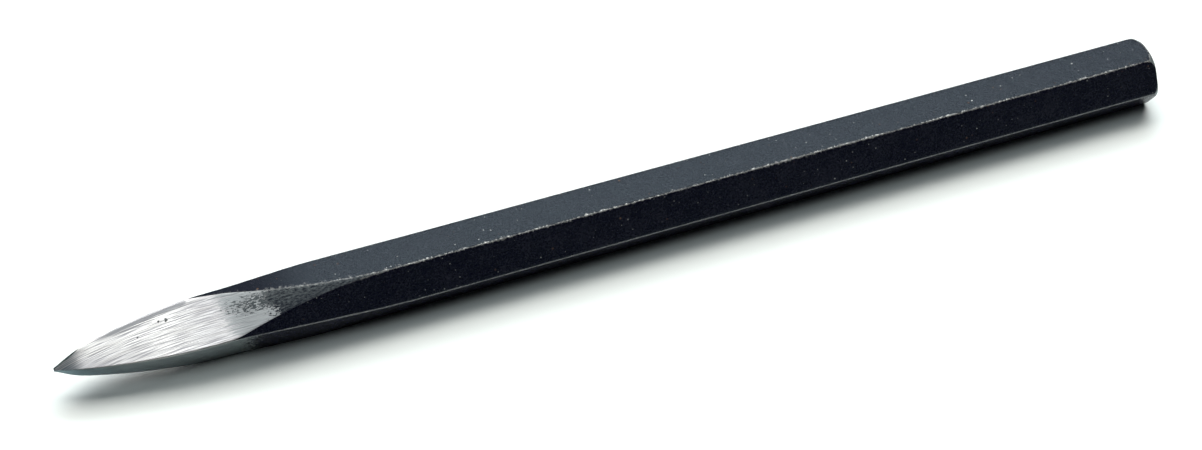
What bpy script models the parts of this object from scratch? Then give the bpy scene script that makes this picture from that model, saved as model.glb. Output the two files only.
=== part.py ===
"""Point chisel forged from one hexagonal bar of tool steel, lying on one of its flats.

The bar runs along X with its point at -X and its struck head at +X. The origin is under the
middle of the bar, on the surface that it lies on. Directions around the bar are angles measured
from the front, -Y, up towards the top, +Z.
"""
import math

import bmesh
import bpy

# Driving dimensions, in metres
LENGTH = 0.250              # tip to struck face
ACROSS_FLATS = 0.014        # size of the hexagonal bar
EDGE_BEVEL = 0.0007         # rounding of the six rolled edges
EDGE_SEGMENTS = 3

# The point: two pairs of facets, each a curved outline seen from the side.
# Reaches are distances from the tip, and halves are distances from the axis.
TIP_HALF = 0.0002           # the tip is blunted to a tiny flat
HONED_REACH = 0.004         # the last steep bevel that strengthens the tip
GROUND_REACH = 0.0375       # the bright ground stretch
FORGED_REACH = 0.0725       # the forged taper runs out into the bar here
BROAD_FACET_ANGLE = 60.0    # the broad pair, square to a corner of the hexagon
BROAD_HONED_HALF = 0.0021
BROAD_GROUND_HALF = 0.0052
BROAD_GROUND_BULGE = 0.00015
BROAD_FORGED_BULGE = 0.00065
SIDE_FACET_ANGLE = -24.0    # the side pair leans 6 degrees from the hexagon's flats
SIDE_HONED_HALF = 0.00185
SIDE_GROUND_HALF = 0.0057
SIDE_GROUND_BULGE = 0.0010
SIDE_FORGED_BULGE = 0.0001
ARC_STEPS = 12

# The head: a turned chamfer that keeps blows off the rolled edges
CHAMFER_ANGLE = 35.0        # from the bar's axis
STRUCK_FACE_RADIUS = 0.0066
HEAD_ROUNDING = 0.0008      # radius where the chamfer meets the struck face
HEAD_ROUNDING_STEPS = 4
TURNED_STEPS = 72

# Working values
CORNER_RADIUS = ACROSS_FLATS / math.sqrt(3.0)
AXIS_HEIGHT = ACROSS_FLATS / 2.0
OVERHANG = 0.004            # how far the blanks run past each other before they are trimmed
BLANK_HALF = 0.012          # half depth of the blanks that the facets are cut from
WELD_DISTANCE = 0.000001

STEEL_COLOUR = (0.045, 0.049, 0.056, 1.0)
STEEL_METALLIC = 0.7
STEEL_ROUGHNESS = 0.55


def clear_scene():
    """Remove every object that the new file came with."""
    for item in list(bpy.data.objects):
        bpy.data.objects.remove(item, do_unlink=True)


def make_collection(name):
    """Add a collection to the scene."""
    collection = bpy.data.collections.new(name)
    bpy.context.scene.collection.children.link(collection)
    return collection


def mark_as_cutter(cutter):
    """Keep a cutter out of the model: it only trims the bar."""
    cutter.hide_render = True
    cutter.display_type = "WIRE"


def arc_points(start, end, bulge):
    """Points after start, up to end, on an arc that stands bulge above the straight chord."""
    chord = math.dist(start, end)
    radius = (chord * chord / 4.0 + bulge * bulge) / (2.0 * bulge)
    half_angle = math.asin(chord / (2.0 * radius))
    along = ((end[0] - start[0]) / chord, (end[1] - start[1]) / chord)
    outward = (-along[1], along[0])
    points = []
    for step in range(1, ARC_STEPS + 1):
        angle = half_angle * (2.0 * step / ARC_STEPS - 1.0)
        run = chord / 2.0 + radius * math.sin(angle)
        rise = radius * (math.cos(angle) - math.cos(half_angle))
        points.append((start[0] + along[0] * run + outward[0] * rise,
                       start[1] + along[1] * run + outward[1] * rise))
    return points


def facet_outline(honed_half, ground_half, ground_bulge, forged_half, forged_bulge):
    """Upper edge of a facet pair's outline, as (distance from the tip, distance from the axis)."""
    honed_end = (HONED_REACH, honed_half)
    ground_end = (GROUND_REACH, ground_half)
    forged_end = (FORGED_REACH, forged_half)
    outline = [(-OVERHANG, TIP_HALF), (0.0, TIP_HALF), honed_end]
    outline += arc_points(honed_end, ground_end, ground_bulge)
    outline += arc_points(ground_end, forged_end, forged_bulge)
    outline += [(FORGED_REACH, BLANK_HALF), (LENGTH + OVERHANG, BLANK_HALF)]
    return outline


def make_facet_cutter(name, outline, facet_angle, collection):
    """Solid whose outline, seen square to the facets, is kept when the bar is trimmed to it."""
    curve = bpy.data.curves.new(name + "_outline", "CURVE")
    curve.dimensions = "2D"
    curve.fill_mode = "BOTH"
    curve.extrude = BLANK_HALF
    tip_x = -LENGTH / 2.0
    corners = [(tip_x + run, half) for run, half in outline]
    corners += [(x, -half) for x, half in reversed(corners)]
    spline = curve.splines.new("POLY")
    spline.points.add(len(corners) - 1)
    for point, (x, y) in zip(spline.points, corners):
        point.co = (x, y, 0.0, 1.0)
    spline.use_cyclic_u = True

    drawn = bpy.data.objects.new(name + "_outline", curve)
    drawn.location = (0.0, 0.0, AXIS_HEIGHT)
    drawn.rotation_euler = (math.radians(180.0 - facet_angle), 0.0, 0.0)
    collection.objects.link(drawn)
    bpy.context.view_layer.update()

    evaluated = drawn.evaluated_get(bpy.context.evaluated_depsgraph_get())
    mesh = bpy.data.meshes.new_from_object(evaluated)
    welded = bmesh.new()
    welded.from_mesh(mesh)
    bmesh.ops.remove_doubles(welded, verts=welded.verts, dist=WELD_DISTANCE)
    bmesh.ops.recalc_face_normals(welded, faces=welded.faces)
    welded.to_mesh(mesh)
    welded.free()

    cutter = bpy.data.objects.new(name, mesh)
    cutter.matrix_world = drawn.matrix_world
    collection.objects.link(cutter)
    bpy.data.objects.remove(drawn, do_unlink=True)
    mark_as_cutter(cutter)
    return cutter


def head_profile():
    """Half section of the turned envelope, from the struck face down to below the tip."""
    slope = math.radians(CHAMFER_ANGLE)
    top = LENGTH / 2.0
    turn = math.pi / 2.0 - slope
    set_back = HEAD_ROUNDING * math.tan(turn / 2.0)
    profile = [(0.0, top)]
    for step in range(HEAD_ROUNDING_STEPS + 1):
        angle = turn * step / HEAD_ROUNDING_STEPS
        radius = STRUCK_FACE_RADIUS - set_back + HEAD_ROUNDING * math.sin(angle)
        profile.append((radius, top - HEAD_ROUNDING * (1.0 - math.cos(angle))))
    chamfer_depth = (BLANK_HALF - STRUCK_FACE_RADIUS) / math.tan(slope)
    profile.append((BLANK_HALF, top - chamfer_depth))
    profile.append((BLANK_HALF, -LENGTH / 2.0))
    profile.append((0.0, -LENGTH / 2.0))
    return profile


def make_turned_envelope(collection):
    """Turned solid that gives the bar its chamfered head and trims the tip to length."""
    profile = head_profile()
    mesh = bpy.data.meshes.new("turned_envelope")
    vertices = [(radius, 0.0, height) for radius, height in profile]
    edges = [(index, index + 1) for index in range(len(profile) - 1)]
    mesh.from_pydata(vertices, edges, [])

    envelope = bpy.data.objects.new("turned_envelope", mesh)
    envelope.location = (0.0, 0.0, AXIS_HEIGHT)
    envelope.rotation_euler = (0.0, math.pi / 2.0, 0.0)
    collection.objects.link(envelope)

    screw = envelope.modifiers.new("turn", "SCREW")
    screw.axis = "Z"
    screw.steps = TURNED_STEPS
    screw.render_steps = TURNED_STEPS
    screw.use_merge_vertices = True
    screw.merge_threshold = WELD_DISTANCE
    mark_as_cutter(envelope)
    return envelope


def make_steel():
    """Blackened tool steel, as it leaves the forge."""
    steel = bpy.data.materials.new("blackened_tool_steel")
    steel.use_nodes = True
    shader = steel.node_tree.nodes["Principled BSDF"]
    shader.inputs["Base Color"].default_value = STEEL_COLOUR
    shader.inputs["Metallic"].default_value = STEEL_METALLIC
    shader.inputs["Roughness"].default_value = STEEL_ROUGHNESS
    return steel


def make_hexagonal_bar(collection):
    """Hexagonal bar along X, a flat underneath, a little too long at both ends."""
    mesh = bpy.data.meshes.new("chisel_body")
    bar = bmesh.new()
    bmesh.ops.create_cone(bar, cap_ends=True, segments=6, radius1=CORNER_RADIUS,
                          radius2=CORNER_RADIUS, depth=LENGTH + 2.0 * OVERHANG)
    bar.to_mesh(mesh)
    bar.free()

    body = bpy.data.objects.new("chisel_body", mesh)
    body.location = (0.0, 0.0, AXIS_HEIGHT)
    body.rotation_euler = (0.0, math.pi / 2.0, 0.0)
    collection.objects.link(body)

    bevel = body.modifiers.new("rolled_edges", "BEVEL")
    bevel.width = EDGE_BEVEL
    bevel.segments = EDGE_SEGMENTS
    bevel.limit_method = "ANGLE"
    bevel.angle_limit = math.radians(40.0)
    return body


def trim_to(body, cutter, name):
    """Keep only the part of the body that lies inside the cutter."""
    boolean = body.modifiers.new(name, "BOOLEAN")
    boolean.operation = "INTERSECT"
    boolean.solver = "EXACT"
    boolean.object = cutter


def main():
    """Build the chisel."""
    clear_scene()
    parts = make_collection("point_chisel")
    cutters = make_collection("cutters")

    broad = facet_outline(BROAD_HONED_HALF, BROAD_GROUND_HALF, BROAD_GROUND_BULGE,
                          CORNER_RADIUS, BROAD_FORGED_BULGE)
    side_run_out = CORNER_RADIUS * math.cos(math.radians(SIDE_FACET_ANGLE))
    side = facet_outline(SIDE_HONED_HALF, SIDE_GROUND_HALF, SIDE_GROUND_BULGE,
                         side_run_out, SIDE_FORGED_BULGE)

    body = make_hexagonal_bar(parts)
    body.data.materials.append(make_steel())
    trim_to(body, make_facet_cutter("broad_facets", broad, BROAD_FACET_ANGLE, cutters),
            "forge_broad_facets")
    trim_to(body, make_facet_cutter("side_facets", side, SIDE_FACET_ANGLE, cutters),
            "forge_side_facets")
    trim_to(body, make_turned_envelope(cutters), "turn_head")


main()
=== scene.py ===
"""Looks of a forged point chisel: one hexagonal steel bar lying on a pale studio floor.

The bar runs along X with its point at -X and its struck head at +X. Directions around the bar
are angles measured from the front, -Y, up towards the top, +Z. Lengths are metres.
"""
import logging
import math
from dataclasses import dataclass, field, fields
from enum import Enum
from typing import Union

import bpy
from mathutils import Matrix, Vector


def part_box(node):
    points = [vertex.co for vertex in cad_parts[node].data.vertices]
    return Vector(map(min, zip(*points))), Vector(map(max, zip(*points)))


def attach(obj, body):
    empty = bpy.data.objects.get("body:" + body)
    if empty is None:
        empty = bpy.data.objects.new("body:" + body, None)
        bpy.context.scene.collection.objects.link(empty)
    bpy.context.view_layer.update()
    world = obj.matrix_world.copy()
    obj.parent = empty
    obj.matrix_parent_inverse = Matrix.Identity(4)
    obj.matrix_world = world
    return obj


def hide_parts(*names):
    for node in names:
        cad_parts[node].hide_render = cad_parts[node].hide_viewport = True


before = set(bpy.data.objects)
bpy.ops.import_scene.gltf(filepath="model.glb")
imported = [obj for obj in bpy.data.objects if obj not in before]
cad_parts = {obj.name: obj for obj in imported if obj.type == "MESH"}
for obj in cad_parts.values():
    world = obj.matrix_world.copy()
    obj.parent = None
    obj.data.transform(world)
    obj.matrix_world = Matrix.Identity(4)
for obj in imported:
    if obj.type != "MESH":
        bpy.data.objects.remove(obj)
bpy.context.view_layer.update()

LOG = logging.getLogger("point_chisel")
BODY = "root"
NODE = "chisel_body"
MM = 0.001

Number = Union[float, int]
Colour = tuple[float, float, float]
Span = tuple[float, float]  # where a ramp leaves 0, and where it reaches 1


class Finish(Enum):
    """The bar's finishes, in the order of its material slots."""

    BAR = "blackened_bar"
    POINT = "ground_point"
    HEAD = "turned_head"


# ---------------------------------------------------------------- writing node trees


class Bench:
    """A node tree on the bench, with short ways to add nodes and join them."""

    def __init__(self, tree: bpy.types.NodeTree) -> None:
        """Take a tree to work on."""
        self.tree = tree

    def node(self, kind: str, settings: Union[dict, None] = None,
             inputs: Union[dict, None] = None) -> bpy.types.Node:
        """Add a node.

        Args:
            kind: Blender's name of the node type.
            settings: The node's own properties, such as its operation.
            inputs: What goes into its sockets, by socket name or number.

        Returns:
            The new node.
        """
        made = self.tree.nodes.new(kind)
        for name, value in (settings or {}).items():
            setattr(made, name, value)
        for key, value in (inputs or {}).items():
            self.feed(made.inputs[key], value)
        return made

    def feed(self, socket: bpy.types.NodeSocket, value: object) -> None:
        """Put a number, colour, vector, Field or socket into an input socket."""
        if isinstance(value, Field):
            self.tree.links.new(value.socket, socket)
        elif isinstance(value, bpy.types.NodeSocket):
            self.tree.links.new(value, socket)
        else:
            socket.default_value = value

    def pick(self, node: bpy.types.Node, output: Union[str, int] = 0) -> "Field":
        """A node's output as a Field."""
        return Field(self, node.outputs[output])


class Field:
    """A value that differs from point to point, written with ordinary arithmetic."""

    def __init__(self, bench: Bench, socket: bpy.types.NodeSocket) -> None:
        """Hold an output socket of a tree."""
        self.bench = bench
        self.socket = socket

    def _math(self, operation: str, *operands: Union["Field", Number]) -> "Field":
        """Join operands with a Math node."""
        node = self.bench.node("ShaderNodeMath", {"operation": operation},
                               dict(enumerate(operands)))
        return self.bench.pick(node)

    def __add__(self, other: Union["Field", Number]) -> "Field":
        """Sum."""
        return self._math("ADD", self, other)

    __radd__ = __add__

    def __sub__(self, other: Union["Field", Number]) -> "Field":
        """Difference."""
        return self._math("SUBTRACT", self, other)

    def __rsub__(self, other: Union["Field", Number]) -> "Field":
        """Difference with the Field last."""
        return self._math("SUBTRACT", other, self)

    def __mul__(self, other: Union["Field", Number]) -> "Field":
        """Product."""
        return self._math("MULTIPLY", self, other)

    __rmul__ = __mul__

    def __truediv__(self, other: Union["Field", Number]) -> "Field":
        """Quotient."""
        return self._math("DIVIDE", self, other)

    def __rtruediv__(self, other: Union["Field", Number]) -> "Field":
        """Quotient with the Field last."""
        return self._math("DIVIDE", other, self)

    def power(self, other: Union["Field", Number]) -> "Field":
        """This value raised to a power."""
        return self._math("POWER", self, other)

    def cosine(self) -> "Field":
        """Cosine of an angle in radians."""
        return self._math("COSINE", self)

    def sine(self) -> "Field":
        """Sine of an angle in radians."""
        return self._math("SINE", self)

    def size(self) -> "Field":
        """Absolute value."""
        return self._math("ABSOLUTE", self)

    def least(self, other: Union["Field", Number]) -> "Field":
        """The smaller of two."""
        return self._math("MINIMUM", self, other)

    def most(self, other: Union["Field", Number]) -> "Field":
        """The larger of two."""
        return self._math("MAXIMUM", self, other)

    def smooth_most(self, other: Union["Field", Number], reach: float) -> "Field":
        """The larger of two, blended where they are closer than a reach."""
        return self._math("SMOOTH_MAX", self, other, reach)

    def above(self, other: Union["Field", Number]) -> "Field":
        """1 where this is larger, else 0."""
        return self._math("GREATER_THAN", self, other)

    def ramp(self, low: Union["Field", Number], high: Union["Field", Number],
             smooth: bool = True) -> "Field":
        """Go from 0 at low to 1 at high.

        Args:
            low: Where the result leaves 0.
            high: Where it reaches 1.
            smooth: Ease in and out, or go straight.

        Returns:
            The ramp, held at 0 and 1 outside.
        """
        settings = {"interpolation_type": "SMOOTHSTEP" if smooth else "LINEAR"}
        node = self.bench.node("ShaderNodeMapRange", settings,
                               {"Value": self, "From Min": low, "From Max": high})
        return self.bench.pick(node)

    def blend(self, low: Union["Field", Number], high: Union["Field", Number]) -> "Field":
        """Read this, from 0 to 1, as a place between two values."""
        return low + self * (high - low)


def open_group(name: str, kind: str, inputs: dict[str, object],
               outputs: dict[str, str]) -> tuple[Bench, bpy.types.Node, bpy.types.Node]:
    """Start a node group with named inputs and outputs.

    Args:
        name: The group's name.
        kind: ShaderNodeTree or GeometryNodeTree.
        inputs: Input names and their defaults, whose types choose the sockets.
        outputs: Output names and their socket types.

    Returns:
        A bench on the group, its input node and its output node.
    """
    tree = bpy.data.node_groups.new(name, kind)
    for label, default in inputs.items():
        socket_type = {float: "NodeSocketFloat", int: "NodeSocketInt",
                       Vector: "NodeSocketVector"}.get(type(default), "NodeSocketColor")
        socket = tree.interface.new_socket(label, in_out="INPUT", socket_type=socket_type)
        socket.default_value = default
    for label, socket_type in outputs.items():
        tree.interface.new_socket(label, in_out="OUTPUT", socket_type=socket_type)
    bench = Bench(tree)
    return bench, bench.node("NodeGroupInput"), bench.node("NodeGroupOutput")


# ---------------------------------------------------------------- the bar's shape


@dataclass(frozen=True)
class FacetPair:
    """Two parallel facets of the point, and how far they stand from the bar's axis.

    Going away from the tip, a facet has a ground stretch and a forged stretch that runs out
    into the bar. Both bulge outwards, and the tip end of the ground stretch is honed steeper.
    """

    angle: float
    start_half: float
    ground_half: float
    ground_bulge: float
    forged_half: float
    forged_bulge: float


@dataclass(frozen=True)
class PointRule:
    """The rule that every section of the bar follows, for its mesh and its finishes alike."""

    length: float
    across_flats: float
    tip_half: float = 0.20 * MM
    honed_reach: float = 4.0 * MM
    honed_blend: float = 3.5 * MM
    crease_blend: float = 3.0 * MM
    ground_reach: float = 37.5 * MM
    forged_reach: float = 72.5 * MM
    run_out_slope: float = 0.2
    chamfer_angle: float = 35.0
    struck_radius: float = 6.9 * MM
    chamfer_forward: float = 0.20 * MM
    chamfer_rise: float = -0.30 * MM
    tip_bevel_angle: float = 107.0
    tip_bevel_slope: float = 0.54
    top_corner_angle: float = 107.0

    @property
    def axis_height(self) -> float:
        """How high the bar's axis lies above the surface."""
        return self.across_flats / 2.0

    @property
    def corner_radius(self) -> float:
        """Distance from the axis to a corner of the hexagon."""
        return self.across_flats / math.sqrt(3.0)

    @property
    def broad(self) -> FacetPair:
        """The broad pair, square to a corner of the hexagon."""
        return FacetPair(60.0, 1.65 * MM, 5.2 * MM, 0.19 * MM, self.corner_radius, 0.65 * MM)

    @property
    def side(self) -> FacetPair:
        """The side pair, which leans 6 degrees from the hexagon's flats."""
        run_out = self.corner_radius * math.cos(math.radians(24.0))
        return FacetPair(-24.0, 0.86 * MM, 5.7 * MM, 1.25 * MM, run_out, 0.1 * MM)

    def stretch(self, along: Field, start: float, end: float, rise: float,
                bulge: float) -> Field:
        """Height gained over one stretch of a facet.

        Args:
            along: Distance from the tip.
            start: Where the stretch begins.
            end: Where it ends.
            rise: Height gained from start to end.
            bulge: How far its middle stands above the straight line.

        Returns:
            0 before the stretch, rise after it, eased where the stretch meets its neighbours.
        """
        ease = self.crease_blend / (end - start)
        left = (end - along) * (1.0 / (end - start))
        part = (1.0 - left.smooth_most(0.0, ease)).smooth_most(0.0, ease)
        return part * rise + part * (1.0 - part) * (4.0 * bulge)

    def facet_half(self, along: Field, pair: FacetPair) -> Field:
        """Distance of a pair's facets from the axis.

        Args:
            along: Distance from the tip.
            pair: Which facets.

        Returns:
            The distance, in metres.
        """
        to_tip = (self.honed_reach - along).smooth_most(0.0, self.honed_blend)
        honed = to_tip * ((pair.start_half - self.tip_half) / self.honed_reach)
        ground = self.stretch(along, 0.0, self.ground_reach,
                              pair.ground_half - pair.start_half, pair.ground_bulge)
        forged = self.stretch(along, self.ground_reach, self.forged_reach,
                              pair.forged_half - pair.ground_half, pair.forged_bulge)
        beyond = (along - self.forged_reach).most(0.0) * self.run_out_slope
        return ground + forged + beyond - honed + pair.start_half

    def faced(self, across: Field, up: Field, angle: float, half: Union[Field, float],
              both_sides: bool = True) -> Field:
        """How near a point is to a face.

        Args:
            across: The point's distance from the axis towards -Y.
            up: Its height above the axis.
            angle: The face's direction, in degrees from the front.
            half: The face's distance from the axis.
            both_sides: Whether there is a parallel face on the far side too.

        Returns:
            1 on the face, less inside it.
        """
        turn = math.radians(angle)
        outward = across * math.cos(turn) + up * math.sin(turn)
        return (outward.size() if both_sides else outward.most(0.0)) / half

    def corner_half(self, along: Field) -> Field:
        """Distance of the point's corners from the axis."""
        broad_half = self.facet_half(along, self.broad)
        side_half = self.facet_half(along, self.side)
        return (broad_half * broad_half + side_half * side_half).power(0.5)

    def faces(self, along: Field, across: Field, up: Field) -> dict[str, Field]:
        """How near a point is to each family of faces.

        Args:
            along: The point's distance from the tip.
            across: Its distance from the axis towards -Y.
            up: Its height above the axis.

        Returns:
            Nearness by family name.
        """
        half = self.axis_height
        broad_half = self.facet_half(along, self.broad)
        side_half = self.facet_half(along, self.side)
        dulled = along * self.tip_bevel_slope + self.tip_half
        return {
            "upright": self.faced(across, up, 30.0, half),
            "level": self.faced(across, up, 90.0, half),
            "rear": self.faced(across, up, 150.0, half),
            "side": self.faced(across, up, self.side.angle, side_half),
            "broad": self.faced(across, up, self.broad.angle, broad_half),
            "dulled": self.faced(across, up, self.tip_bevel_angle, dulled, both_sides=False),
        }

    def chamfered(self, along: Field, across: Field, up: Field) -> Field:
        """How near a point is to the head's chamfer, which was turned a little off centre.

        Args:
            along: The point's distance from the tip.
            across: Its distance from the axis towards -Y.
            up: Its height above the axis.

        Returns:
            1 on the chamfer, less inside it.
        """
        radial = (across * across + up * up).power(0.5)
        radius = (self.length - along) * math.tan(math.radians(self.chamfer_angle))
        shift = (across * self.chamfer_forward + up * self.chamfer_rise) / radial
        return radial / (radius + self.struck_radius + shift)


@dataclass(frozen=True)
class RingSizes:
    """What the ring tree is told: counts of rings, reaches and the hand-made unevenness."""

    length: float
    axis_height: float
    point_reach: float = 78.0 * MM
    head_reach: float = 6.0 * MM
    rim_rise: float = 0.6 * MM
    point_rings: int = 200
    shank_rings: int = 150
    head_rings: int = 24
    face_rings: int = 10
    sides: int = 248
    rolled_sharpness: float = 44.0
    ground_sharpness: float = 150.0
    ground_end: float = 48.0 * MM
    wave_depth: float = 0.05 * MM
    wave_size: float = 9.0 * MM
    seed: float = 4.0


class RingTree:
    """Geometry Nodes that wrap a grid of rings round the bar's axis, following its rule."""

    dome_power: float = 8.0
    calm_reach: float = 12.0 * MM
    weld_distance: float = 0.002 * MM

    def __init__(self, rule: PointRule, sizes: RingSizes) -> None:
        """Args:
            rule: The section rule.
            sizes: Values for the named inputs.
        """
        self.rule = rule
        self.sizes = sizes
        defaults = {self.label(item.name): getattr(sizes, item.name) for item in fields(sizes)}
        self.bench, source, self.sink = open_group(
            "chisel_rings", "GeometryNodeTree", defaults, {"Mesh": "NodeSocketGeometry"})
        self.bench.tree.is_modifier = True
        self.given = {item.name: self.bench.pick(source, self.label(item.name))
                      for item in fields(sizes)}

    @staticmethod
    def label(name: str) -> str:
        """A field's name as people read it on a socket."""
        return name.replace("_", " ").title()

    def grid(self) -> tuple[bpy.types.NodeSocket, Field, Field]:
        """A flat grid with one column for each ring.

        Returns:
            The grid, each point's ring number, and its turn round the axis in radians.
        """
        given = self.given
        rings = (given["point_rings"] + given["shank_rings"] + given["head_rings"]
                 + given["face_rings"] + 2.0)
        grid = self.bench.node("GeometryNodeMeshGrid", inputs={
            "Size X": 1.0, "Size Y": 1.0, "Vertices X": rings,
            "Vertices Y": given["sides"] + 1.0})
        place = self.bench.node("ShaderNodeSeparateXYZ", inputs={
            0: self.bench.node("GeometryNodeInputPosition").outputs[0]})
        ring = (self.bench.pick(place, "X") + 0.5) * (rings - 1.0)
        turn = (self.bench.pick(place, "Y") + 0.5) * math.tau
        return grid.outputs["Mesh"], ring, turn

    def spaced(self, ring: Field) -> tuple[Field, Field]:
        """Where each ring stands, closest together at the point and the head.

        Args:
            ring: Ring number, 0 at the tip's centre.

        Returns:
            Distance from the tip, and the share of the section's radius that the ring keeps.
        """
        given = self.given
        length = given["length"] - given["rim_rise"]
        shank = length - given["point_reach"] - given["head_reach"]
        point_end = given["point_rings"] + 1.0
        shank_end = point_end + given["shank_rings"]
        head_end = shank_end + given["head_rings"]
        face = ring.ramp(head_end, head_end + given["face_rings"], smooth=False)
        kept = (1.0 - face * face) * ring.least(1.0)
        domed = (1.0 - kept.power(self.dome_power)) * given["rim_rise"] * ring.above(point_end)
        along = (ring.ramp(1.0, point_end, smooth=False) * given["point_reach"]
                 + ring.ramp(point_end, shank_end, smooth=False) * shank
                 + ring.ramp(shank_end, head_end, smooth=False) * given["head_reach"]
                 + domed)
        return along, kept

    def radius(self, along: Field, turn: Field) -> Field:
        """Radius of the bar's surface in one direction: its faces with worn edges.

        Args:
            along: Distance from the tip.
            turn: Direction round the axis, in radians.

        Returns:
            Distance of the surface from the axis.
        """
        given = self.given
        nearness = list(self.rule.faces(along, turn.cosine(), turn.sine()).values())
        nearness.append(self.rule.chamfered(along, turn.cosine(), turn.sine()))
        nearest = nearness[0]
        for face in nearness[1:]:
            nearest = nearest.most(face)
        sharpness = along.ramp(given["ground_end"], given["point_reach"]).blend(
            given["ground_sharpness"], given["rolled_sharpness"])
        total = (nearness[0] / nearest).power(sharpness)
        for face in nearness[1:]:
            total = total + (face / nearest).power(sharpness)
        return 1.0 / (nearest * total.power(1.0 / sharpness))

    def unevenness(self, along: Field, turn: Field) -> Field:
        """How deep the hammer and the wheel have left each spot below the rule.

        Args:
            along: Distance from the tip.
            turn: Direction round the axis, in radians.

        Returns:
            Depth in metres, fading to nothing at the tip.
        """
        given = self.given
        spot = self.bench.node("ShaderNodeCombineXYZ", inputs={
            0: along, 1: turn.cosine() * given["axis_height"],
            2: turn.sine() * given["axis_height"]})
        noise = self.bench.node("ShaderNodeTexNoise", {"noise_dimensions": "4D"}, {
            "Vector": spot.outputs[0], "W": given["seed"], "Scale": 1.0 / given["wave_size"],
            "Detail": 2.0, "Roughness": 0.5})
        return self.bench.pick(noise) * given["wave_depth"] * along.ramp(0.0, self.calm_reach)

    def build(self, finishes: dict[Finish, bpy.types.Material]) -> bpy.types.NodeTree:
        """Write the tree out.

        Args:
            finishes: The materials to set.

        Returns:
            The finished tree.
        """
        bench, given = self.bench, self.given
        grid, ring, turn = self.grid()
        along, kept = self.spaced(ring)
        radius = (self.radius(along, turn) - self.unevenness(along, turn)) * kept
        place = bench.node("ShaderNodeCombineXYZ", inputs={
            0: along - given["length"] * 0.5, 1: turn.cosine() * radius * -1.0,
            2: turn.sine() * radius + given["axis_height"]})
        wrapped = bench.node("GeometryNodeSetPosition", inputs={
            "Geometry": grid, "Position": place.outputs[0]})
        closed = bench.node("GeometryNodeMergeByDistance", inputs={
            "Geometry": wrapped.outputs[0], "Distance": self.weld_distance})
        smooth = bench.node("GeometryNodeSetShadeSmooth", inputs={
            "Geometry": closed.outputs[0], "Shade Smooth": True})
        real = bench.node("GeometryNodeRealizeInstances", inputs={
            "Geometry": smooth.outputs[0]})
        where = bench.node("ShaderNodeSeparateXYZ", inputs={
            0: bench.node("GeometryNodeInputPosition").outputs[0]})
        from_tip = bench.pick(where, "X") + given["length"] * 0.5
        zones = {
            Finish.BAR: True,
            Finish.POINT: given["point_reach"].above(from_tip),
            Finish.HEAD: from_tip.above(given["length"] - given["head_reach"]),
        }
        mesh = real.outputs[0]
        for finish, zone in zones.items():
            dressed = bench.node("GeometryNodeSetMaterial", inputs={
                "Geometry": mesh, "Selection": zone, "Material": finishes[finish]})
            mesh = dressed.outputs[0]
        bench.feed(self.sink.inputs["Mesh"], mesh)
        return bench.tree


@dataclass
class ChiselBar:
    """The whole tool: one forged and ground bar."""

    rule: PointRule
    sizes: RingSizes
    finishes: dict[Finish, bpy.types.Material] = field(default_factory=dict)

    def build(self) -> bpy.types.Object:
        """Make the bar's mesh in place.

        Returns:
            The bar as a plain mesh object at the origin.
        """
        tree = RingTree(self.rule, self.sizes).build(self.finishes)
        blank = bpy.data.objects.new("forged_bar", bpy.data.meshes.new("blank"))
        bpy.context.scene.collection.objects.link(blank)
        modifier = blank.modifiers.new("rings", "NODES")
        modifier.node_group = tree
        for item in tree.interface.items_tree:
            if item.in_out == "INPUT":
                name = item.name.lower().replace(" ", "_")
                modifier[item.identifier] = getattr(self.sizes, name)
        seen = blank.evaluated_get(bpy.context.evaluated_depsgraph_get())
        mesh = bpy.data.meshes.new_from_object(seen)
        blank.modifiers.remove(modifier)
        mesh.name = "forged_bar"
        blank.data = mesh
        return blank


# ---------------------------------------------------------------- finishes


@dataclass(frozen=True)
class ScaleLook:
    """Black forging scale: a thin, hard, bluish oxide skin."""

    dark: Colour = (0.0005, 0.0005, 0.007)
    light: Colour = (0.021, 0.020, 0.031)
    rust: Colour = (0.10, 0.055, 0.035)
    # grey that the broad facet's scale is lightened to, in patches
    dusty: Colour = (0.125, 0.138, 0.145)
    smooth: float = 0.18
    rough: float = 0.36
    grain: float = 0.36 * MM
    cloud: float = 6.0 * MM
    fleck_gap: float = 0.9 * MM
    fleck_share: float = 0.75
    skin: float = 0.042 * MM
    ior: float = 1.26
    sheen: Colour = (0.68, 0.86, 0.96)
    fleck_wear: float = 0.8


@dataclass(frozen=True)
class SteelLook:
    """Bare steel left by the grinding wheel, with painted shade that darkens the side facet, most
    near the tip.
    """

    bright: Colour = (0.92, 0.855, 0.835)
    dull: Colour = (0.46, 0.43, 0.455)
    stained: Colour = (0.47, 0.42, 0.40)
    coarse: Colour = (0.31, 0.32, 0.33)
    top_corner: Colour = (0.36, 0.35, 0.37)
    tip: Colour = (0.21, 0.26, 0.30)
    # dark steel: painted shade on the side facet near the tip, and also the dulled bevel's colour
    tip_edge: Colour = (0.10, 0.115, 0.105)
    # the side facet's steel, darker than the broad facet's as painted shade
    side: Colour = (0.31, 0.335, 0.325)
    smooth: float = 0.28
    rough: float = 0.44
    mark_fan: float = 0.21
    mark_reach: float = 33.0 * MM
    mark_width: float = 0.20 * MM
    mark_length: float = 7.0 * MM
    groove: float = 0.014 * MM
    lustre_tones: Span = (0.12, 0.62)
    lustre_fade: Span = (22.0 * MM, 33.0 * MM)
    lustre_far: float = 0.5
    shade_along: Span = (24.0 * MM, 5.0 * MM)
    shade_across: Span = (1.5 * MM, -2.5 * MM)
    shade_depth: float = 0.75
    stain_share: float = 0.25
    coarse_share: float = 0.85
    tip_span: Span = (6.5 * MM, 2.5 * MM)
    tip_marks: float = 0.8
    # how much of that painted shade the side facet takes
    side_share: float = 0.75
    # where and how strongly the side facet is darkened towards the tip as painted shade
    tip_edge_span: Span = (17.0 * MM, 4.0 * MM)
    tip_edge_share: float = 0.9
    coarse_rough: float = 0.06
    shoulder_rough: float = 0.12


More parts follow.
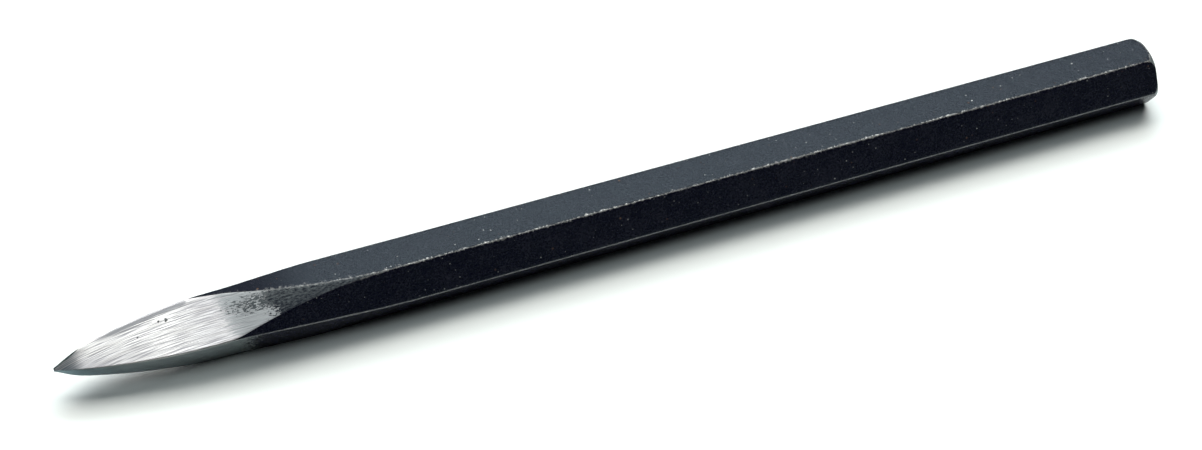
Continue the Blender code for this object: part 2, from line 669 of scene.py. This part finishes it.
@dataclass(frozen=True)
class HeadLook:
    """The turned head: a dark chamfer and a struck face burnished by hammer blows."""

    dark: Colour = (0.20, 0.21, 0.215)
    chamfer: Colour = (0.33, 0.345, 0.34)
    burnished: Colour = (0.46, 0.455, 0.44)
    grain: float = 0.25 * MM
    end_near: float = 0.75 * MM
    end_far: float = 0.55 * MM
    ring_pitch: float = 0.42 * MM
    ring_wobble: float = 0.2 * MM
    ring_shade: float = 0.75
    blow_size: float = 2.2 * MM
    middle_radius: float = 1.5 * MM
    burnish_levels: Span = (0.55, 1.1)
    turned_rough: Span = (0.35, 0.5)
    burnish_smooth: float = 0.12
    blow_depth: float = 4.0


@dataclass(frozen=True)
class EdgeWearAndHighlight:
    """Steel showing through where edges have been handled and knocked, and a painted highlight of
    steel along the mid-height edges.
    """

    colour: Colour = (0.46, 0.46, 0.45)
    width: float = 0.40 * MM
    gap: float = 0.55 * MM
    upper: float = 1.0
    # strength of the painted highlight along the mid-height edges
    lower: float = 0.9


@dataclass(frozen=True)
class GroundZone:
    """Where the wheel has reached, as distances from the tip and across a facet."""

    broad_end: float = 46.0 * MM
    side_end: float = 40.5 * MM
    coarse_start: float = 36.3 * MM
    coarse_slant: float = 0.25
    coarse_jag: float = 5.0 * MM
    shoulder_start: float = 9.0 * MM
    shoulder_end: float = 30.0 * MM
    shoulder_reach: float = 0.62 * MM
    shoulder_wobble: float = 0.5 * MM
    shoulder_fade: float = 0.15 * MM
    shoulder_rise: float = 4.0 * MM
    shoulder_fall: float = 2.0 * MM
    shoulder_scatter: float = 6.0 * MM
    ragged: float = 5.0 * MM
    ragged_gain: float = 3.5
    edge_lead: float = 0.3
    broad_fade: float = 0.6 * MM
    side_fade: float = 3.0 * MM
    coarse_fade: float = 0.5 * MM
    pit_along: float = 44.5 * MM
    pit_across: float = 1.3 * MM
    pit_reach: float = 10.0 * MM
    pit_half: float = 2.6 * MM
    pit_length: float = 0.9 * MM
    pit_width: float = 0.34 * MM
    pit_outside: float = -0.9
    pit_crowding: float = 0.175
    pit_levels: Span = (0.60, 0.66)
    stray_pits: tuple[tuple[float, float, float], ...] = (
        (24.1 * MM, 3.0 * MM, 0.42 * MM),
        (22.6 * MM, 3.1 * MM, 0.26 * MM),
        (17.7 * MM, 1.1 * MM, 0.22 * MM),
    )
    stray_wobble: float = 2.0
    stray_rim: Span = (1.0, 0.6)
    stray_depth: float = 0.9
    # where the broad facet's scale is lightened to grey: across the facet, in patches, and at
    # least this much
    dust_across: Span = (-4.0 * MM, 3.0 * MM)
    dust_levels: Span = (0.31, 0.68)
    dust_least: float = 0.25
    burnt_up: Span = (0.8, 0.95)
    burnt_along: Span = (58.0 * MM, 40.0 * MM)
    burnt_rough: float = 0.45


@dataclass(frozen=True)
class PointSpot:
    """What the point's finish knows of a spot: its place, its face and the wheel's marks."""

    along: Field
    across: Field
    broad: Field
    side: Field
    dulled: Field
    tone: Field
    stain: Field
    height: Field
    patch: Field


class ShaderGroups:
    """Effects that several finishes share, each written once as a node group."""

    mask_levels: Span = (0.001, 0.011)
    front_span: Span = (-2.0 * MM, 2.0 * MM)
    shallow_levels: Span = (0.96, 0.985)

    def __init__(self, rule: PointRule) -> None:
        """Write every group.

        Args:
            rule: The section rule, so that finishes find the bar's faces exactly.
        """
        self.rule = rule
        self.bar_faces = self._bar_faces()
        self.fine_grain = self._fine_grain()
        self.light_flecks = self._light_flecks()
        self.forge_scale = self._forge_scale()
        self.worn_edges = self._worn_edges()
        self.grinding_marks = self._grinding_marks()

    def _bar_faces(self) -> bpy.types.NodeTree:
        """Tell which face a spot is on, and how far it is from the nearest edge."""
        rule = self.rule
        masks = ("Broad", "Side", "Dulled", "Chamfer")
        plain = ("Along", "Across", "Lateral", "Up", "Front", "Edge", "Shoulder")
        outputs = {name: "NodeSocketFloat" for name in plain + masks}
        bench, _, sink = open_group("bar_faces", "ShaderNodeTree", {}, outputs)
        place = bench.node("ShaderNodeSeparateXYZ", inputs={
            0: bench.node("ShaderNodeTexCoord").outputs["Object"]})
        along = bench.pick(place, "X") + rule.length / 2.0
        across = bench.pick(place, "Y") * -1.0
        up = bench.pick(place, "Z") - rule.axis_height
        near = rule.faces(along, across, up)
        radial = (across * across + up * up).power(0.5)
        near["chamfer"] = rule.chamfered(along, across, up)
        level = near["level"].most(near["dulled"])
        flank = near["side"].most(near["rear"])
        first, second = near["upright"].most(level), near["upright"].least(level)
        for other in (flank, near["broad"], near["chamfer"]):
            second = second.most(first.least(other))
            first = first.most(other)
        rest = near["upright"].most(near["chamfer"])
        rivals = {
            "Broad": ("broad", rest.most(level).most(flank)),
            "Side": ("side", rest.most(level).most(near["broad"]).most(near["rear"])),
            "Dulled": ("dulled", rest.most(flank).most(near["level"]).most(near["broad"])),
            "Chamfer": ("chamfer", near["upright"].most(level).most(flank)),
        }
        for name, (own, others) in rivals.items():
            mask = (near[own] - others).ramp(*self.mask_levels)
            bench.feed(sink.inputs[name], mask)
            if name == "Side":
                on_side = mask
        broad_turn, side_turn = math.radians(rule.broad.angle), math.radians(rule.side.angle)
        over_broad = up * math.cos(broad_turn) - across * math.sin(broad_turn)
        over_side = up * math.cos(side_turn) - across * math.sin(side_turn)
        bench.feed(sink.inputs["Across"], on_side.blend(over_broad, over_side))
        bench.feed(sink.inputs["Along"], along)
        bench.feed(sink.inputs["Lateral"], across)
        bench.feed(sink.inputs["Up"], up)
        bench.feed(sink.inputs["Front"], across.ramp(*self.front_span))
        shallow = (near["broad"] / first).ramp(*self.shallow_levels)
        to_edge = (1.0 - second / first) * radial
        bench.feed(sink.inputs["Edge"], to_edge * (shallow + 1.0))
        corner = rule.faced(across, up, rule.top_corner_angle, 1.0, both_sides=False)
        bench.feed(sink.inputs["Shoulder"], rule.corner_half(along) - corner)
        return bench.tree

    def _fine_grain(self) -> bpy.types.NodeTree:
        """Grain of the metal's surface, from 0 to 1."""
        bench, source, sink = open_group("fine_grain", "ShaderNodeTree", {
            "Size": 0.3 * MM, "Roughness": 0.6, "Seed": 0.0}, {"Grain": "NodeSocketFloat"})
        noise = bench.node("ShaderNodeTexNoise", {"noise_dimensions": "4D"}, {
            "Vector": bench.node("ShaderNodeTexCoord").outputs["Object"],
            "W": source.outputs["Seed"], "Scale": 1.0 / bench.pick(source, "Size"),
            "Detail": 3.0, "Roughness": source.outputs["Roughness"]})
        bench.feed(sink.inputs["Grain"], bench.pick(noise).ramp(0.33, 0.67, smooth=False))
        return bench.tree

    def _light_flecks(self) -> bpy.types.NodeTree:
        """Tiny separate flecks, each in its own cell, some cells empty."""
        bench, source, sink = open_group("light_flecks", "ShaderNodeTree", {
            "Gap": 1.0 * MM, "Share": 0.3, "Seed": 0.0}, {"Fleck": "NodeSocketFloat"})
        cells = bench.node("ShaderNodeTexVoronoi", {"voronoi_dimensions": "4D"}, {
            "Vector": bench.node("ShaderNodeTexCoord").outputs["Object"],
            "W": source.outputs["Seed"], "Scale": 1.0 / bench.pick(source, "Gap")})
        lot = bench.node("ShaderNodeSeparateColor", inputs={0: cells.outputs["Color"]})
        chosen = bench.pick(source, "Share").above(bench.pick(lot, "Red"))
        reach = bench.pick(lot, "Green").blend(0.10, 0.26)
        fleck = (1.0 - bench.pick(cells, "Distance") / reach).most(0.0)
        strength = bench.pick(lot, "Blue").power(2.5).blend(0.25, 1.0)
        bench.feed(sink.inputs["Fleck"], fleck.ramp(0.0, 0.5) * chosen * strength)
        return bench.tree

    def _forge_scale(self) -> bpy.types.NodeTree:
        """Black scale with its grain, cloudiness and rubbed flecks."""
        bench, source, sink = open_group("forge_scale", "ShaderNodeTree", {
            "Dark": (0.01, 0.01, 0.01, 1.0), "Light": (0.03, 0.03, 0.03, 1.0),
            "Rust": (0.1, 0.05, 0.03, 1.0), "Smooth": 0.3, "Rough": 0.5, "Grain": 0.3 * MM,
            "Cloud": 6.0 * MM, "Fleck Gap": 1.5 * MM, "Fleck Share": 0.3},
            {"Color": "NodeSocketColor", "Roughness": "NodeSocketFloat",
             "Height": "NodeSocketFloat", "Fleck": "NodeSocketFloat"})
        grain = bench.pick(bench.node("ShaderNodeGroup", {"node_tree": self.fine_grain}, {
            "Size": source.outputs["Grain"], "Roughness": 0.7, "Seed": 2.0}))
        cloud = bench.pick(bench.node("ShaderNodeGroup", {"node_tree": self.fine_grain}, {
            "Size": source.outputs["Cloud"], "Roughness": 0.6, "Seed": 5.0}))
        fleck = bench.pick(bench.node("ShaderNodeGroup", {"node_tree": self.light_flecks}, {
            "Gap": source.outputs["Fleck Gap"], "Share": source.outputs["Fleck Share"],
            "Seed": 3.0}))
        tone = (grain * 0.8 + cloud * 0.2).ramp(0.25, 0.95, smooth=False).power(2.2)
        colour = mix_colours(bench, tone, source.outputs["Dark"], source.outputs["Light"])
        rust = bench.pick(bench.node("ShaderNodeGroup", {"node_tree": self.light_flecks}, {
            "Gap": bench.pick(source, "Fleck Gap") * 1.6, "Share": 0.6, "Seed": 13.0}))
        bench.feed(sink.inputs["Color"],
                   mix_colours(bench, rust, colour, source.outputs["Rust"]))
        bench.feed(sink.inputs["Roughness"], (grain * 0.6 + cloud * 0.4).blend(
            bench.pick(source, "Smooth"), bench.pick(source, "Rough")))
        bench.feed(sink.inputs["Height"], grain + cloud * 0.5 - rust * 1.5)
        bench.feed(sink.inputs["Fleck"], fleck)
        return bench.tree

    def _worn_edges(self) -> bpy.types.NodeTree:
        """Broken patches of bare steel along edges, stronger higher up the bar, and a soft painted
        highlight along the mid-height edges.
        """
        bench, source, sink = open_group("worn_edges", "ShaderNodeTree", {
            "Edge": 1.0, "Up": 0.0, "Front": 1.0, "Along": 0.0, "Width": 0.4 * MM,
            "Gap": 0.8 * MM, "Upper": 0.9, "Lower": 0.3}, {"Worn": "NodeSocketFloat"})
        chips = bench.pick(bench.node("ShaderNodeGroup", {"node_tree": self.fine_grain}, {
            "Size": source.outputs["Gap"], "Roughness": 0.75, "Seed": 7.0}))
        runs = bench.pick(bench.node("ShaderNodeGroup", {"node_tree": self.fine_grain}, {
            "Size": bench.pick(source, "Gap") * 14.0, "Roughness": 0.5, "Seed": 8.0}))
        up, half = bench.pick(source, "Up"), self.rule.axis_height
        forged_end = self.rule.forged_reach
        shank = bench.pick(source, "Along").ramp(forged_end - 10.0 * MM, forged_end)
        upper = up.ramp(half * 0.88, half * 0.97) * bench.pick(source, "Front").blend(0.2, 1.0)
        # painted highlight: a soft line of bright steel along the mid-height edges
        lower = up.size().ramp(half * 0.30, half * 0.15)
        upper = upper * shank.blend(0.5, 1.0)
        upper = upper * bench.pick(source, "Upper")
        lower = lower * bench.pick(source, "Lower")
        chips = chips * chips
        width, edge = bench.pick(source, "Width"), bench.pick(source, "Edge")
        broken = 1.0 - (edge / (width * (chips * 1.3 + runs * 0.5 + 0.1))).ramp(0.2, 1.0)
        soft = 1.0 - (edge / (width * (runs * 0.4 + 0.5))).ramp(0.2, 1.0)
        bright = (broken * upper * (chips * 0.9 + 0.2)).least(1.0)
        mid_edge_highlight = soft * lower * (chips * 0.3 + 0.3)
        bench.feed(sink.inputs["Worn"], bright.most(mid_edge_highlight))
        return bench.tree

    def _grinding_marks(self) -> bpy.types.NodeTree:
        """Fine marks of a grinding wheel, which fan out from the tip and then run straight."""
        bench, source, sink = open_group("grinding_marks", "ShaderNodeTree", {
            "Along": 0.0, "Across": 0.0, "Fan": 0.2, "Reach": 35.0 * MM, "Width": 0.2 * MM,
            "Length": 6.0 * MM},
            {"Tone": "NodeSocketFloat", "Stain": "NodeSocketFloat",
             "Height": "NodeSocketFloat", "Crosswise": "NodeSocketFloat"})
        along, across = bench.pick(source, "Along"), bench.pick(source, "Across")
        reach, width = bench.pick(source, "Reach"), bench.pick(source, "Width")
        fanned = along.least(reach)
        crosswise = across - fanned * bench.pick(source, "Fan") * (1.0 - fanned / reach * 0.5)
        streaks = []
        for share, seed in ((1.0, 0.0), (1.9, 9.0), (5.0, 17.0)):
            spot = bench.node("ShaderNodeCombineXYZ", inputs={
                0: along / (bench.pick(source, "Length") * math.sqrt(share)),
                1: crosswise / (width * share), 2: seed})
            noise = bench.node("ShaderNodeTexNoise", inputs={
                "Vector": spot.outputs[0], "Scale": 1.0, "Detail": 1.0, "Roughness": 0.5})
            streaks.append(bench.pick(noise).ramp(0.37, 0.63, smooth=False))
        bench.feed(sink.inputs["Tone"], streaks[0] * 0.78 + streaks[1] * 0.17 + streaks[2] * 0.05)
        bench.feed(sink.inputs["Stain"], (streaks[1] * 0.6 + streaks[2] * 0.4).ramp(0.5, 0.85))
        bench.feed(sink.inputs["Height"], streaks[0] * 0.6 + streaks[1] * 0.4)
        bench.feed(sink.inputs["Crosswise"], crosswise)
        return bench.tree


def mix_colours(bench: Bench, share: object, first: object, second: object) -> object:
    """Mix two colours.

    Args:
        bench: The tree to work on.
        share: How much of the second colour, from 0 to 1.
        first: The colour at 0.
        second: The colour at 1.

    Returns:
        The mixed colour's socket.
    """
    node = bench.node("ShaderNodeMix", {"data_type": "RGBA"})
    bench.feed(node.inputs[0], share)
    for socket, colour in ((node.inputs[6], first), (node.inputs[7], second)):
        bench.feed(socket, (*colour, 1.0) if isinstance(colour, tuple) else colour)
    return node.outputs[2]


class FinishMaker:
    """Writes the bar's materials from the shared groups."""

    def __init__(self, rule: PointRule) -> None:
        """Prepare the shared groups and the looks.

        Args:
            rule: The bar's section rule.
        """
        self.rule = rule
        self.groups = ShaderGroups(rule)
        self.scale = ScaleLook()
        self.steel = SteelLook()
        self.wear = EdgeWearAndHighlight()
        self.head = HeadLook()
        self.zone = GroundZone()

    def make(self) -> dict[Finish, bpy.types.Material]:
        """Write all the finishes.

        Returns:
            Each finish's material.
        """
        writers = {Finish.BAR: self._bar, Finish.POINT: self._point, Finish.HEAD: self._head}
        return {finish: write(finish.value) for finish, write in writers.items()}

    def _open(self, name: str) -> tuple[bpy.types.Material, Bench, bpy.types.Node, dict]:
        """Start a material with the scale, the edge patches of bare steel with their painted
        highlight, and the face map that all of them use.
        """
        material = bpy.data.materials.new(name)
        material.use_nodes = True
        bench = Bench(material.node_tree)
        shader = material.node_tree.nodes["Principled BSDF"]
        shader.inputs["IOR"].default_value = self.scale.ior
        shader.inputs["Specular Tint"].default_value = (*self.scale.sheen, 1.0)
        faces = bench.node("ShaderNodeGroup", {"node_tree": self.groups.bar_faces})
        scale = bench.node("ShaderNodeGroup", {"node_tree": self.groups.forge_scale}, {
            "Dark": (*self.scale.dark, 1.0), "Light": (*self.scale.light, 1.0),
            "Rust": (*self.scale.rust, 1.0), "Smooth": self.scale.smooth,
            "Rough": self.scale.rough, "Grain": self.scale.grain,
            "Cloud": self.scale.cloud, "Fleck Gap": self.scale.fleck_gap,
            "Fleck Share": self.scale.fleck_share})
        worn = bench.node("ShaderNodeGroup", {"node_tree": self.groups.worn_edges}, {
            "Edge": faces.outputs["Edge"], "Up": faces.outputs["Up"],
            "Front": faces.outputs["Front"], "Along": faces.outputs["Along"],
            "Width": self.wear.width, "Gap": self.wear.gap, "Upper": self.wear.upper,
            "Lower": self.wear.lower})
        rubbed = bench.pick(scale, "Fleck") * self.scale.fleck_wear
        parts = {"faces": faces, "scale": scale, "worn": bench.pick(worn).most(rubbed)}
        return material, bench, shader, parts

    def _close(self, bench: Bench, shader: bpy.types.Node, colour: object, metallic: Field,
               roughness: Field, height: Field, depth: float) -> None:
        """Join a finish to the surface shader.

        Args:
            bench: The material's tree.
            shader: Its Principled BSDF.
            colour: Base colour.
            metallic: How much of it is bare metal.
            roughness: Roughness.
            height: Fine relief, from 0 to 1.
            depth: What a height of 1 means, in metres.
        """
        bump = bench.node("ShaderNodeBump", inputs={
            "Strength": 1.0, "Distance": depth, "Height": height})
        bench.feed(shader.inputs["Base Color"], colour)
        bench.feed(shader.inputs["Metallic"], metallic)
        bench.feed(shader.inputs["Roughness"], roughness)
        bench.feed(shader.inputs["Normal"], bump.outputs[0])

    def _bar(self, name: str) -> bpy.types.Material:
        """Blackened shank: scale with knocked edges and a painted highlight along the mid-height
        edges.
        """
        material, bench, shader, parts = self._open(name)
        scale, worn = parts["scale"], parts["worn"]
        colour = mix_colours(bench, worn, scale.outputs["Color"], self.wear.colour)
        self._close(bench, shader, colour, worn, bench.pick(scale, "Roughness"),
                    bench.pick(scale, "Height"), self.scale.skin)
        return material

    def _read_spot(self, bench: Bench, faces: bpy.types.Node) -> PointSpot:
        """Gather what the point's finish needs to know of each spot.

        Args:
            bench: The material's tree.
            faces: The face map's node.

        Returns:
            The spot's place, face and marks.
        """
        steel, zone = self.steel, self.zone
        marks = bench.node("ShaderNodeGroup", {"node_tree": self.groups.grinding_marks}, {
            "Along": faces.outputs["Along"], "Across": faces.outputs["Across"],
            "Fan": steel.mark_fan, "Reach": steel.mark_reach, "Width": steel.mark_width,
            "Length": steel.mark_length})
        along = bench.pick(faces, "Along")
        place = bench.node("ShaderNodeCombineXYZ", inputs={
            0: along / zone.pit_length,
            1: bench.pick(marks, "Crosswise") / zone.pit_width, 2: 3.0})
        patch = bench.pick(bench.node("ShaderNodeTexNoise", inputs={
            "Vector": place.outputs[0], "Scale": 1.0, "Detail": 4.0, "Roughness": 0.62}))
        return PointSpot(
            along, bench.pick(faces, "Across"), bench.pick(faces, "Broad"),
            bench.pick(faces, "Side"), bench.pick(faces, "Dulled"), bench.pick(marks, "Tone"),
            bench.pick(marks, "Stain"), bench.pick(marks, "Height"), patch)

    def _shoulder(self, spot: PointSpot, to_corner: Field) -> Field:
        """The dull band under the point's top corner.

        Args:
            spot: What is known of each spot.
            to_corner: How far below the top corner the spot is.

        Returns:
            1 in the band, else 0.
        """
        zone = self.zone
        depth = to_corner + (spot.tone - 0.5) * zone.shoulder_wobble
        band = depth.ramp(zone.shoulder_reach + zone.shoulder_fade,
                          zone.shoulder_reach - zone.shoulder_fade)
        start = spot.along.ramp(zone.shoulder_start, zone.shoulder_start + zone.shoulder_rise)
        scattered = spot.along + (spot.patch - 0.5) * zone.shoulder_scatter
        return band * start * scattered.ramp(zone.shoulder_end,
                                             zone.shoulder_end - zone.shoulder_fall)

    def _pits(self, spot: PointSpot) -> Field:
        """Pits that the wheel left: a cluster, and a few on their own.

        Args:
            spot: What is known of each spot.

        Returns:
            1 in a pit, else 0.
        """
        zone = self.zone
        inside = 1.0 - ((spot.along - zone.pit_along) / zone.pit_reach).power(2.0) \
            - ((spot.across - zone.pit_across) / zone.pit_half).power(2.0)
        crowded = spot.patch + inside.most(zone.pit_outside) * zone.pit_crowding
        pits = crowded.ramp(*zone.pit_levels)
        for along, across, radius in zone.stray_pits:
            away = ((spot.along - along).power(2.0) + (spot.across - across).power(2.0)).power(0.5)
            away = away / radius + (spot.patch - 0.5) * zone.stray_wobble
            pits = pits.most(away.ramp(*zone.stray_rim) * zone.stray_depth)
        return pits

    def _bare(self, spot: PointSpot) -> Field:
        """Where the wheel has bared the steel.

        Args:
            spot: What is known of each spot.

        Returns:
            1 on bare steel, 0 on scale.
        """
        zone = self.zone
        lead = (spot.across / self.rule.broad.ground_half).power(2.0) * zone.ragged \
            * zone.edge_lead
        reach = spot.along - (spot.patch - 0.5) * zone.ragged * zone.ragged_gain - lead
        broad = spot.broad * (zone.broad_end - reach).ramp(0.0, zone.broad_fade)
        side = spot.side * (zone.side_end - reach).ramp(0.0, zone.side_fade)
        return broad.most(side).most(spot.dulled) * (1.0 - self._pits(spot) * spot.broad)

    def _ground_colour(self, bench: Bench, spot: PointSpot, coarse: Field,
                       shoulder: Field) -> object:
        """Colour of the bare steel, with painted shade that darkens the side facet, most near the
        tip.

        Args:
            bench: The material's tree.
            spot: What is known of each spot.
            coarse: 1 where the steel was ground coarsely.
            shoulder: 1 in the dull band under the top corner.

        Returns:
            The colour's socket.
        """
        steel = self.steel
        lustre = spot.tone.ramp(*steel.lustre_tones) \
            * spot.along.ramp(*steel.lustre_fade).blend(1.0, steel.lustre_far)
        shade = spot.along.ramp(*steel.shade_along) * spot.across.ramp(*steel.shade_across)
        lustre = lustre * (1.0 - shade * steel.shade_depth)
        tip = spot.along.ramp(*steel.tip_span) * (1.0 - spot.tone * steel.tip_marks)
        # painted shade: darkens the side facet towards the tip
        tip_edge = spot.along.ramp(*steel.tip_edge_span) * spot.side * steel.tip_edge_share
        metal = mix_colours(bench, lustre, steel.dull, steel.bright)
        for share, colour in (
                (spot.stain * steel.stain_share, steel.stained),
                (coarse * steel.coarse_share, steel.coarse),
                (shoulder, steel.top_corner),
                (tip, steel.tip),
                # painted shade: the side facet's steel is made darker than the broad facet's
                (spot.side * steel.side_share, steel.side),
                (tip_edge, steel.tip_edge),
                (spot.dulled, steel.tip_edge)):
            metal = mix_colours(bench, share, metal, colour)
        return metal

    def _point(self, name: str) -> bpy.types.Material:
        """Point: ground steel that gives way to scale, with scale left in its pits."""
        material, bench, shader, parts = self._open(name)
        faces, scale, worn = parts["faces"], parts["scale"], parts["worn"]
        steel, zone = self.steel, self.zone
        spot = self._read_spot(bench, faces)
        shoulder = self._shoulder(spot, bench.pick(faces, "Shoulder"))
        bare = self._bare(spot)
        front = spot.along + spot.across * zone.coarse_slant + (spot.tone - 0.5) * zone.coarse_jag
        coarse = front.ramp(zone.coarse_start - zone.coarse_fade,
                            zone.coarse_start + zone.coarse_fade)
        metal = self._ground_colour(bench, spot, coarse, shoulder)

        # scale lightened to grey on the broad facet, in patches and more towards its upper edge
        lightening = spot.across.ramp(*zone.dust_across).blend(zone.dust_least, 1.0) \
            * spot.patch.ramp(*zone.dust_levels)
        dusty = mix_colours(bench, spot.broad * lightening, scale.outputs["Color"], self.scale.dusty)
        skin = mix_colours(bench, worn, dusty, self.wear.colour)
        colour = mix_colours(bench, bare, skin, metal)

        ground_rough = spot.tone.blend(steel.rough, steel.smooth) \
            + coarse * steel.coarse_rough + shoulder * steel.shoulder_rough
        low, high = (self.rule.axis_height * share for share in zone.burnt_up)
        burnt = bench.pick(faces, "Up").ramp(low, high) * spot.along.ramp(*zone.burnt_along)
        scale_rough = bench.pick(scale, "Roughness") + burnt * zone.burnt_rough
        roughness = bare.blend(scale_rough, ground_rough)
        relief = bare.blend(bench.pick(scale, "Height") * (self.scale.skin / steel.groove),
                            spot.height + 1.0)
        self._close(bench, shader, colour, bare.most(worn), roughness, relief, steel.groove)
        return material

    def _head(self, name: str) -> bpy.types.Material:
        """Head: scale on the flats, turned steel on the chamfer and the struck face."""
        material, bench, shader, parts = self._open(name)
        faces, scale, worn = parts["faces"], parts["scale"], parts["worn"]
        rule, head = self.rule, self.head
        grain = bench.pick(bench.node("ShaderNodeGroup", {"node_tree": self.groups.fine_grain}, {
            "Size": head.grain, "Roughness": 0.6, "Seed": 11.0}))
        blows = bench.pick(bench.node("ShaderNodeGroup", {"node_tree": self.groups.fine_grain}, {
            "Size": head.blow_size, "Roughness": 0.45, "Seed": 14.0}))
        end = bench.pick(faces, "Along").ramp(rule.length - head.end_near,
                                              rule.length - head.end_far)
        radial = (bench.pick(faces, "Lateral").power(2.0)
                  + bench.pick(faces, "Up").power(2.0)).power(0.5)
        turns = (radial + blows * head.ring_wobble) * (math.tau / head.ring_pitch)
        rings = turns.sine() * 0.5 + 0.5
        middle = radial.ramp(rule.struck_radius, head.middle_radius)
        burnish = (blows * 0.7 + middle * 0.6 + grain * 0.25).ramp(*head.burnish_levels)
        face = mix_colours(bench, burnish * rings.blend(head.ring_shade, 1.0), head.dark,
                           head.burnished)
        turned = bench.pick(faces, "Chamfer").most(end) * grain.blend(0.5, 1.0)
        skin = mix_colours(bench, worn, scale.outputs["Color"], self.wear.colour)
        rim = mix_colours(bench, grain, head.chamfer, head.dark)
        metal = mix_colours(bench, end, rim, face)
        colour = mix_colours(bench, turned, skin, metal)
        turned_rough = grain.blend(*head.turned_rough) - burnish * end * head.burnish_smooth
        roughness = turned.blend(bench.pick(scale, "Roughness"), turned_rough)
        relief = bench.pick(scale, "Height") + (rings * 0.5 + blows * head.blow_depth) * end
        self._close(bench, shader, colour, turned.most(worn), roughness, relief,
                    self.scale.skin)
        return material


# ---------------------------------------------------------------- the studio


@dataclass(frozen=True)
class Camera:
    """Where the viewer stands."""

    aim: Vector = Vector((-0.0062, 0.0001, 0.0050))
    distance: float = 0.5546
    azimuth: float = -20.667
    elevation: float = 47.022
    lens: float = 77.4

    def build(self) -> bpy.types.Object:
        """Place the camera and make it the scene's own.

        Returns:
            The camera object.
        """
        turn, lift = math.radians(self.azimuth), math.radians(self.elevation)
        back = Vector((math.cos(lift) * math.sin(turn), -math.cos(lift) * math.cos(turn),
                       math.sin(lift)))
        data = bpy.data.cameras.new("camera")
        data.lens = self.lens
        data.clip_start = 0.01
        camera = bpy.data.objects.new("camera", data)
        camera.location = self.aim + back * self.distance
        camera.rotation_euler = (math.radians(90.0) - lift, 0.0, turn)
        bpy.context.scene.collection.objects.link(camera)
        bpy.context.scene.camera = camera
        return camera


@dataclass(frozen=True)
class Softbox:
    """A rectangular studio light that looks at a spot on the table."""

    name: str
    place: Vector
    width: float
    depth: float
    brightness: float
    colour: Colour = (1.0, 1.0, 1.0)

    def build(self) -> bpy.types.Object:
        """Hang the light.

        Returns:
            The light object.
        """
        data = bpy.data.lights.new(self.name, "AREA")
        data.shape = "RECTANGLE"
        data.size = self.width
        data.size_y = self.depth
        data.energy = self.brightness * math.pi * self.width * self.depth
        data.color = self.colour
        light = bpy.data.objects.new(self.name, data)
        light.location = self.place
        light.rotation_euler = (-self.place).to_track_quat("-Z", "Y").to_euler()
        bpy.context.scene.collection.objects.link(light)
        return light


@dataclass
class Studio:
    """The pale table, the lights and the camera."""

    table_size: float = 4.0
    table_colour: Colour = (0.88, 0.91, 0.905)
    surround: float = 0.006

    def build(self) -> None:
        """Set the studio up."""
        Camera().build()
        self.table()
        self.air()
        for light in self.lights():
            light.build()
        bpy.context.scene.view_settings.view_transform = "Standard"

    def lights(self) -> list[Softbox]:
        """The key light and a strip behind the table, one over the point, a card at the left."""
        return [
            Softbox("rear_softbox", Vector((0.15, 0.526, 1.079)), 1.7, 0.92, 4.9,
                    (0.99, 0.99, 0.945)),
            Softbox("rear_strip", Vector((0.34, 0.76, 0.855)), 0.95, 0.30, 6.6,
                    (0.86, 1.0, 1.06)),
            Softbox("point_softbox", Vector((-0.20, -0.25, 1.15)), 0.7, 0.34, 2.85,
                    (0.90, 1.0, 1.01)),
            Softbox("left_card", Vector((-0.85, -0.20, 0.90)), 0.4, 0.4, 0.6,
                    (0.9, 0.97, 1.0)),
        ]

    def table(self) -> None:
        """Lay the plain table top."""
        half = self.table_size / 2.0
        mesh = bpy.data.meshes.new("table_top")
        corners = [(-half, -half, 0.0), (half, -half, 0.0), (half, half, 0.0), (-half, half, 0.0)]
        mesh.from_pydata(corners, [], [(0, 1, 2, 3)])
        paper = bpy.data.materials.new("pale_paper")
        paper.use_nodes = True
        shader = paper.node_tree.nodes["Principled BSDF"]
        shader.inputs["Base Color"].default_value = (*self.table_colour, 1.0)
        shader.inputs["Roughness"].default_value = 0.9
        shader.inputs["Specular IOR Level"].default_value = 0.1
        mesh.materials.append(paper)
        table = bpy.data.objects.new("table_top", mesh)
        bpy.context.scene.collection.objects.link(table)

    def air(self) -> None:
        """Dim, even light from the rest of the room."""
        world = bpy.data.worlds.new("studio")
        world.use_nodes = True
        background = world.node_tree.nodes["Background"]
        background.inputs["Color"].default_value = (1.0, 1.0, 1.0, 1.0)
        background.inputs["Strength"].default_value = self.surround
        bpy.context.scene.world = world


# ---------------------------------------------------------------- putting it together


def main() -> None:
    """Build the studio and the chisel."""
    logging.basicConfig(level=logging.INFO, format="%(name)s: %(message)s")
    Studio().build()
    LOG.info("studio ready")

    low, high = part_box(NODE)
    length, height = high.x - low.x, high.z - low.z
    rule = PointRule(length, height)
    finishes = FinishMaker(rule).make()
    LOG.info("%d finishes ready", len(finishes))
    bar = ChiselBar(rule, RingSizes(length, rule.axis_height), finishes).build()
    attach(bar, BODY)
    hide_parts(NODE)
    LOG.info("%s: %d faces", bar.name, len(bar.data.polygons))


if __name__ == "__main__":
    main()
